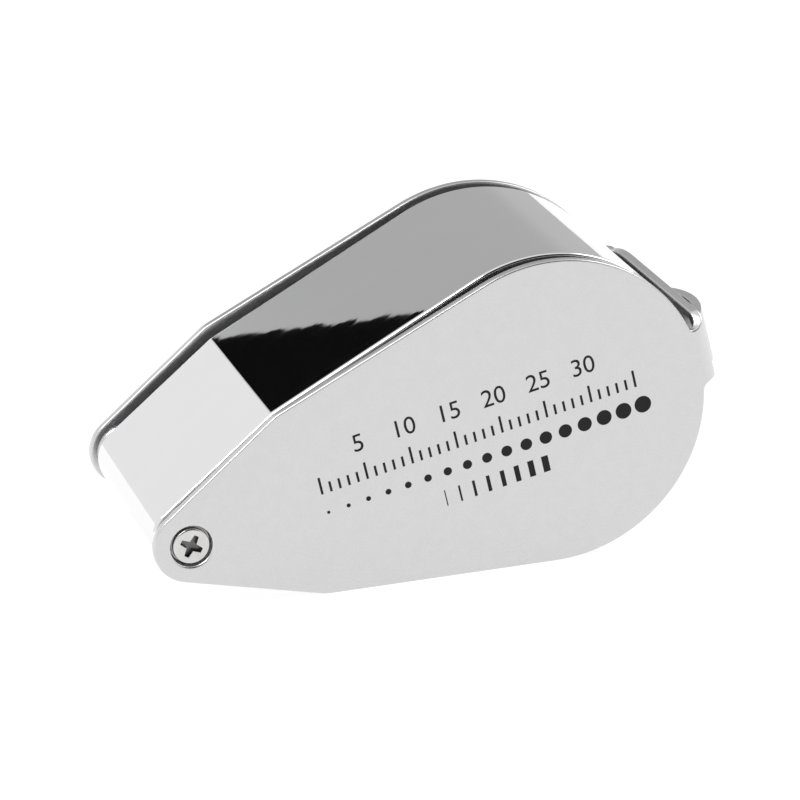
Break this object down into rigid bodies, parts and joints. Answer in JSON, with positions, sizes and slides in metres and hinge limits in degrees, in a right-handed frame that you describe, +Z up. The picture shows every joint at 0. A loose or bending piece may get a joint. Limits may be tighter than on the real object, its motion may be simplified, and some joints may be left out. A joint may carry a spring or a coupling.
{
  "type": "folding illuminated hand lens",
  "caption": "Pocket hand lens: a lens case with lamps swings out from between two teardrop cover plates folded from one sheet, with a lanyard loop.",
  "frame": {"origin": "bottom centre of the bounding box of the closed lens, standing on the lower long flank of its plates", "axes": "+X towards the wide end and the web, +Y from the front plate to the back plate, +Z up"},
  "size_m": [0.0634, 0.0298, 0.0333],
  "materials": {
    "satin_metal": "satin plated sheet",
    "screw_steel": "bright plated steel",
    "nylon": "moulded nylon",
    "case_chrome": "mirror plating",
    "cover_chrome": "mirror plating",
    "black_plastic": "moulded, fine grain",
    "bush_brass": "turned",
    "black_anodised": "black anodised",
    "lens_glass": "polished",
    "lamp_clear": "clear epoxy",
    "lamp_violet": "tinted epoxy",
    "board_green": "solder mask",
    "chip_black": "film chip",
    "switch_metal": "tinned can",
    "knob_plastic": "ribbed, moulded",
    "cell_steel": "nickel plated",
    "contact_brass": "sprung strip",
    "wire_red": "insulation",
    "wire_black": "insulation"
  },
  "bodies": {
    "cover": {"cover_shell": "satin_metal", "pivot_screw": "screw_steel", "pivot_barrel": "screw_steel", "front_washer": "nylon", "back_washer": "nylon"},
    "lens_unit": {"lens_case": "case_chrome", "case_cover": "cover_chrome", "case_screws": "screw_steel", "inner_frame": "black_plastic", "pivot_bush": "bush_brass", "lens_barrel": "black_anodised", "eye_bezel": "black_anodised", "field_bezel": "black_anodised", "eye_lens": "lens_glass", "lens_spacer": "black_anodised", "field_lens": "lens_glass", "field_ring": "black_anodised", "led_white": "lamp_clear", "led_uv": "lamp_violet", "led_board": "board_green", "board_resistors": "chip_black", "switch_housing": "switch_metal", "cell_1": "cell_steel", "cell_2": "cell_steel", "cell_3": "cell_steel", "contact_neg": "contact_brass", "contact_pos": "contact_brass", "battery_cover": "black_plastic", "battery_screw": "screw_steel", "red_wire": "wire_red", "black_wire": "wire_black"},
    "switch": {"switch_slider": "knob_plastic"}
  },
  "joints": [
    {"name": "lens_swing", "type": "hinge", "parent": "cover", "child": "lens_unit", "pos_m": [-0.02778, 0, 0.00741], "axis": [0, -1, 0], "continuous": true},
    {"name": "switch_slide", "type": "slide", "parent": "lens_unit", "child": "switch", "axis": [0, 1, 0], "range_m": [-0.0015, 0.0015]}
  ]
}
